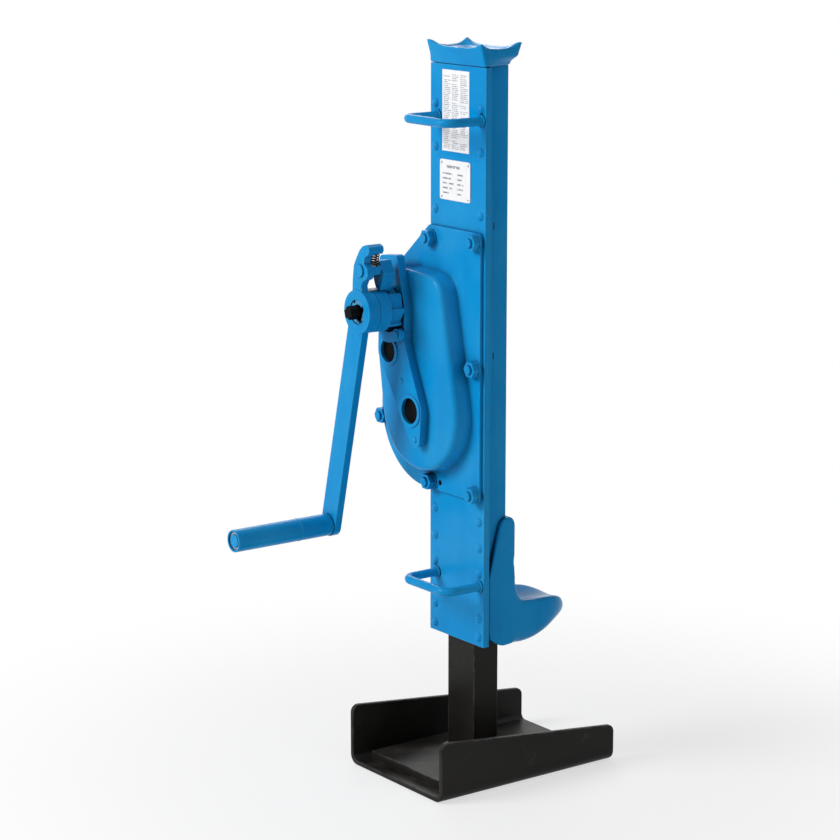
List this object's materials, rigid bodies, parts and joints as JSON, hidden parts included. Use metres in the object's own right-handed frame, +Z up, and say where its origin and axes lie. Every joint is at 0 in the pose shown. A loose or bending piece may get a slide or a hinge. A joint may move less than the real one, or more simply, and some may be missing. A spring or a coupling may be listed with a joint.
{
  "type": "rack and pinion track jack",
  "caption": "Steel track jack: a riveted housing with a crown head and a toe claw climbs a toothed rack on a channel foot, driven by a ratchet hand crank and spur gears.",
  "frame": {"origin": "middle of the rack column at the underside of the foot", "axes": "+Z up along the rack, -Y towards the crank and the front plate, +X to the right seen from the crank side"},
  "size_m": [0.2371, 0.3825, 0.842],
  "materials": {
    "blue_paint": "semi-gloss blue paint, dusty and lightly worn",
    "light_blue_paint": "thin light-blue overspray",
    "black_paint": "satin black paint",
    "dark_steel": "blackened, oiled steel",
    "zinc_steel": "zinc-plated steel",
    "bronze": "plain bearing bronze",
    "spring_steel": "blackened spring wire",
    "label_film": "white printed film",
    "rating_sheet": "thin printed sheet"
  },
  "bodies": {
    "base": {"foot_channel": "black_paint", "foot_doubler": "black_paint", "rack": "black_paint", "weld_bead": "black_paint"},
    "housing": {"front_plate": "blue_paint", "rack_channel": "blue_paint", "lower_guide": "bronze", "upper_guide": "bronze", "thrust_plate": "bronze", "gear_case": "blue_paint", "gear_cover": "blue_paint", "bearing_bracket": "blue_paint", "bracket_pins": "blue_paint", "rear_bushes": "bronze", "cover_studs": "zinc_steel", "cover_washers": "blue_paint", "cover_nuts": "blue_paint", "plate_rivets": "blue_paint", "head": "blue_paint", "claw": "blue_paint", "upper_handle": "blue_paint", "lower_handle": "blue_paint", "instruction_label": "label_film", "rating_plate": "rating_sheet", "rating_plate_pins": "zinc_steel", "stop_pawl_pin": "dark_steel"},
    "stop_lever": {"stop_pawl": "blue_paint"},
    "pinion_unit": {"pinion_shaft": "dark_steel", "main_gear": "dark_steel"},
    "intermediate_unit": {"intermediate_shaft": "dark_steel", "intermediate_gear": "dark_steel"},
    "crank": {"crank_arm": "blue_paint", "crank_shaft": "dark_steel", "shaft_nut": "light_blue_paint", "jaw_ring": "blue_paint", "ratchet_wheel": "blue_paint", "drive_pawl_pin": "dark_steel", "pawl_spring": "spring_steel", "grip_axle": "dark_steel", "grip_washer": "zinc_steel"},
    "drive_lever": {"drive_pawl": "blue_paint"},
    "grip": {"grip_sleeve": "blue_paint"}
  },
  "joints": [
    {"name": "housing_lift", "type": "slide", "parent": "base", "child": "housing", "axis": [0, 0, 1], "range_m": [-0.11828, 0.23655]},
    {"name": "crank_turn", "type": "hinge", "parent": "housing", "child": "crank", "pos_m": [-0.07224, -0.1105, 0.53856], "axis": [0, 1, 0], "range_deg": [-5400, 10800]},
    {"name": "intermediate_turn", "type": "hinge", "parent": "housing", "child": "intermediate_unit", "pos_m": [-0.08261, -0.03, 0.48709], "axis": [0, 1, 0], "range_deg": [-2541.3, 1270.7]},
    {"name": "pinion_turn", "type": "hinge", "parent": "housing", "child": "pinion_unit", "pos_m": [-0.041, -0.03, 0.4235], "axis": [0, 1, 0], "range_deg": [-338.9, 677.7]},
    {"name": "drive_pawl_tilt", "type": "hinge", "parent": "crank", "child": "drive_lever", "pos_m": [-0.06692, -0.0905, 0.58633], "axis": [0, -1, 0], "range_deg": [0, 14], "deforming": ["pawl_spring"]},
    {"name": "stop_pawl_tilt", "type": "hinge", "parent": "housing", "child": "stop_lever", "pos_m": [-0.05494, -0.066, 0.51006], "axis": [0, 1, 0], "range_deg": [-14, 6]},
    {"name": "grip_spin", "type": "hinge", "parent": "crank", "child": "grip", "pos_m": [-0.13411, -0.1755, 0.27883], "axis": [0, 1, 0], "continuous": true}
  ],
  "couplings": [
    {"joint": "intermediate_turn", "follows": "crank_turn", "ratio": -0.23529},
    {"joint": "pinion_turn", "follows": "crank_turn", "ratio": 0.062745},
    {"joint": "housing_lift", "follows": "crank_turn", "m_per_rad": 0.0012549}
  ]
}
